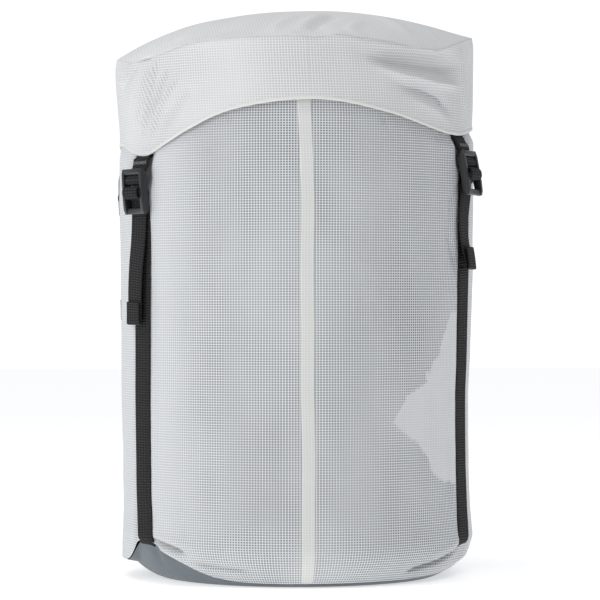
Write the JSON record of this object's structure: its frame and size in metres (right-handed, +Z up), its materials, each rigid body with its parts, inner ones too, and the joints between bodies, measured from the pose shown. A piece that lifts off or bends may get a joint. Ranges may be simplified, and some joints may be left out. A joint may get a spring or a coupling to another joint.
{
  "type": "compression sack",
  "caption": "Round fabric compression sack with a drawcord mouth, a domed cap and side straps with ladderlock buckles that pull the cap down to squeeze what is packed inside",
  "frame": {"origin": "middle of the base, on the surface that the sack stands on", "axes": "+Z up along the sack's axis; -Y is the front with the felled seam; +X is the right side seen from the front"},
  "size_m": [0.2582, 0.2556, 0.3974],
  "materials": {
    "white_ripstop": "thin translucent white ripstop, fine square grid",
    "ivory_binding": "ivory woven tape and felled seam",
    "coated_slate": "slate grey coated fabric, soft satin",
    "black_webbing": "charcoal black ribbed webbing",
    "black_plastic": "moulded black acetal, slightly glossy",
    "spring_steel": "bright drawn wire"
  },
  "bodies": {
    "sack": {"bottom_panel": "coated_slate", "body_tube": "white_ripstop", "front_seam": "ivory_binding", "strap_front_left": "black_webbing", "strap_front_right": "black_webbing", "strap_rear_left": "black_webbing", "strap_rear_right": "black_webbing"},
    "mouth": {"mouth_collar": "white_ripstop", "cord_channel": "white_ripstop", "drawcord": "black_webbing", "lock_barrel": "black_plastic", "lock_spring": "spring_steel"},
    "plunger": {"lock_plunger": "black_plastic"},
    "cap": {"cap_top": "white_ripstop", "cap_skirt": "white_ripstop", "cap_hem": "ivory_binding", "cap_strap_bartacks": "black_webbing", "cap_strap_front_left": "black_webbing", "cap_strap_front_right": "black_webbing", "cap_strap_rear_left": "black_webbing", "cap_strap_rear_right": "black_webbing"},
    "ladderlock_front_left": {"buckle_front_left": "black_plastic", "strap_loop_front_left": "black_webbing"},
    "ladderlock_front_right": {"buckle_front_right": "black_plastic", "strap_loop_front_right": "black_webbing"},
    "ladderlock_rear_left": {"buckle_rear_left": "black_plastic", "strap_loop_rear_left": "black_webbing"},
    "ladderlock_rear_right": {"buckle_rear_right": "black_plastic", "strap_loop_rear_right": "black_webbing"},
    "tail_front_left": {"strap_tail_front_left": "black_webbing"},
    "tail_front_right": {"strap_tail_front_right": "black_webbing"},
    "tail_rear_left": {"strap_tail_rear_left": "black_webbing"},
    "tail_rear_right": {"strap_tail_rear_right": "black_webbing"}
  },
  "joints": [
    {"name": "compress", "type": "slide", "parent": "sack", "child": "mouth", "axis": [0, 0, 1], "range_m": [-0.08, 0], "deforming": ["body_tube", "front_seam", "strap_front_left", "strap_front_right", "strap_rear_left", "strap_rear_right"]},
    {"name": "cap_lift", "type": "slide", "parent": "mouth", "child": "cap", "axis": [0, 0, 1], "range_m": [0, 0.04]},
    {"name": "cord_lock_press", "type": "slide", "parent": "mouth", "child": "plunger", "axis": [0, 0, 1], "range_m": [-0.003, 0], "stiffness_N_per_m": 300, "springref_m": 0.002, "deforming": ["lock_spring"]},
    {"name": "buckle_tilt_front_left", "type": "hinge", "parent": "cap", "child": "ladderlock_front_left", "pos_m": [-0.11563, -0.05765, 0.27415], "axis": [-0.4462, 0.8949, 0], "range_deg": [0, 25]},
    {"name": "buckle_tilt_front_right", "type": "hinge", "parent": "cap", "child": "ladderlock_front_right", "pos_m": [0.11563, -0.05765, 0.28731], "axis": [-0.4462, -0.8949, 0], "range_deg": [0, 25]},
    {"name": "buckle_tilt_rear_left", "type": "hinge", "parent": "cap", "child": "ladderlock_rear_left", "pos_m": [-0.11563, 0.05765, 0.27415], "axis": [0.4462, 0.8949, 0], "range_deg": [0, 25]},
    {"name": "buckle_tilt_rear_right", "type": "hinge", "parent": "cap", "child": "ladderlock_rear_right", "pos_m": [0.11563, 0.05765, 0.28731], "axis": [0.4462, -0.8949, 0], "range_deg": [0, 25]},
    {"name": "tail_run_front_left", "type": "slide", "parent": "cap", "child": "tail_front_left", "axis": [0, 0, 1], "range_m": [-0.08, 0]},
    {"name": "tail_run_front_right", "type": "slide", "parent": "cap", "child": "tail_front_right", "axis": [0, 0, 1], "range_m": [-0.08, 0]},
    {"name": "tail_run_rear_left", "type": "slide", "parent": "cap", "child": "tail_rear_left", "axis": [0, 0, 1], "range_m": [-0.08, 0]},
    {"name": "tail_run_rear_right", "type": "slide", "parent": "cap", "child": "tail_rear_right", "axis": [0, 0, 1], "range_m": [-0.08, 0]}
  ],
  "couplings": [
    {"joint": "tail_run_front_left", "follows": "compress", "ratio": 1},
    {"joint": "tail_run_front_right", "follows": "compress", "ratio": 1},
    {"joint": "tail_run_rear_left", "follows": "compress", "ratio": 1},
    {"joint": "tail_run_rear_right", "follows": "compress", "ratio": 1}
  ]
}
